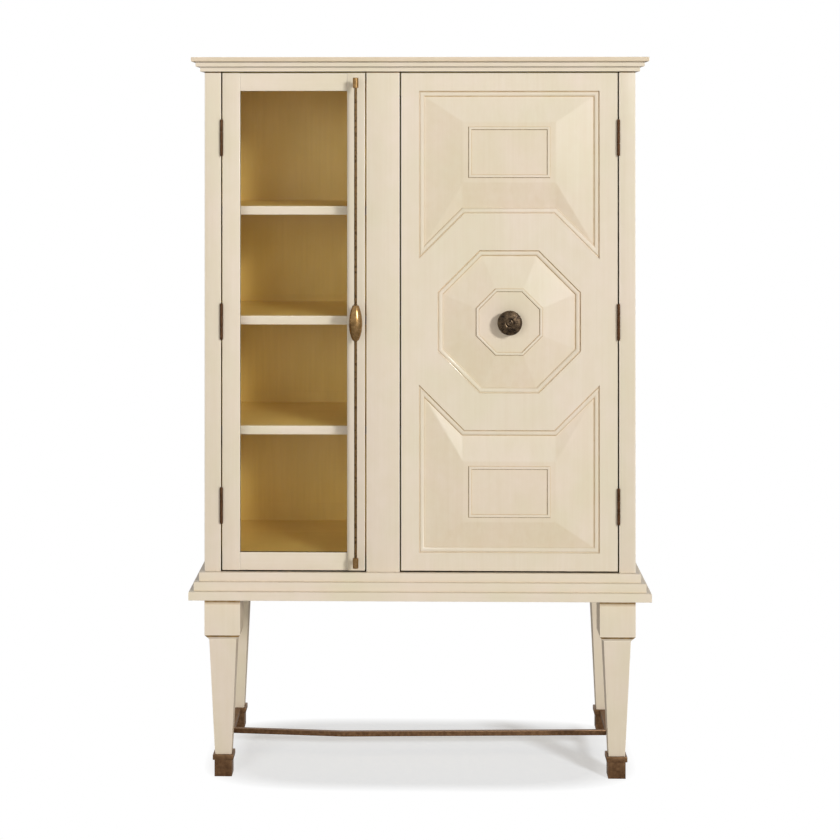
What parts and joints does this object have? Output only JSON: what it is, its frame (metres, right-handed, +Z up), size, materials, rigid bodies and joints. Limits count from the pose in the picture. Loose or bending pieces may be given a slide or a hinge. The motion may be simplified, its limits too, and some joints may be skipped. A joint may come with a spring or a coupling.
{
  "type": "bar cabinet",
  "caption": "Tall bar cabinet on tapered legs with metal ferrules and a bent stretcher: a narrow glazed door with a full-height pull and a wide door with faceted panels.",
  "frame": {"origin": "on the floor, under the middle of the bounding box", "axes": "+X to the right seen from the front, +Y to the back, +Z up; the doors face -Y"},
  "size_m": [1.1682, 0.539, 1.836],
  "materials": {
    "cream_paint": "painted, glazed, satin",
    "gold_interior": "gold paint, satin",
    "dark_bronze": "bronze patina",
    "antique_brass": "aged, polished",
    "clear_glass": "clear",
    "catch_plastic": "matte",
    "strike_steel": "plated"
  },
  "bodies": {
    "cabinet": {"top_board": "cream_paint", "cornice_moulding": "cream_paint", "left_side": "cream_paint", "right_side": "cream_paint", "left_stile": "cream_paint", "centre_stile": "cream_paint", "right_stile": "cream_paint", "plinth_moulding": "cream_paint", "base_board": "cream_paint", "plinth_back_rail": "cream_paint", "back_panel": "cream_paint", "front_left_leg": "cream_paint", "front_right_leg": "cream_paint", "rear_left_leg": "cream_paint", "rear_right_leg": "cream_paint", "case_top": "gold_interior", "centre_partition": "gold_interior", "case_floor": "gold_interior", "left_lower_shelf": "gold_interior", "left_middle_shelf": "gold_interior", "left_upper_shelf": "gold_interior", "right_lower_shelf": "gold_interior", "right_upper_shelf": "gold_interior", "stemware_rails": "gold_interior", "front_left_ferrule": "dark_bronze", "front_right_ferrule": "dark_bronze", "rear_left_ferrule": "dark_bronze", "rear_right_ferrule": "dark_bronze", "left_side_stretcher": "dark_bronze", "right_side_stretcher": "dark_bronze", "cross_stretcher": "dark_bronze", "case_hinge_leaves": "dark_bronze", "hinge_pins": "dark_bronze", "magnetic_catches": "catch_plastic"},
    "left_door": {"left_door_hinge_stile": "cream_paint", "left_door_pull_stile": "cream_paint", "left_door_top_rail": "cream_paint", "left_door_bottom_rail": "cream_paint", "glazing_beads": "gold_interior", "glass_pane": "clear_glass", "pull_rod": "antique_brass", "pull_posts": "antique_brass", "left_door_hinge_leaves": "dark_bronze", "left_strike_plate": "strike_steel"},
    "right_door": {"right_door_slab": "cream_paint", "upper_panel": "cream_paint", "lower_panel": "cream_paint", "octagon_panel": "cream_paint", "upper_panel_moulding": "cream_paint", "lower_panel_moulding": "cream_paint", "octagon_moulding": "cream_paint", "right_door_hinge_leaves": "dark_bronze", "door_knob": "dark_bronze", "knob_screw": "strike_steel", "right_strike_plate": "strike_steel"}
  },
  "joints": [
    {"name": "left_door_hinge", "type": "hinge", "parent": "cabinet", "child": "left_door", "pos_m": [-0.504, -0.2228, 1.1645], "axis": [0, 0, -1], "range_deg": [0, 180]},
    {"name": "right_door_hinge", "type": "hinge", "parent": "cabinet", "child": "right_door", "pos_m": [0.504, -0.2228, 1.1645], "axis": [0, 0, 1], "range_deg": [0, 180]}
  ]
}
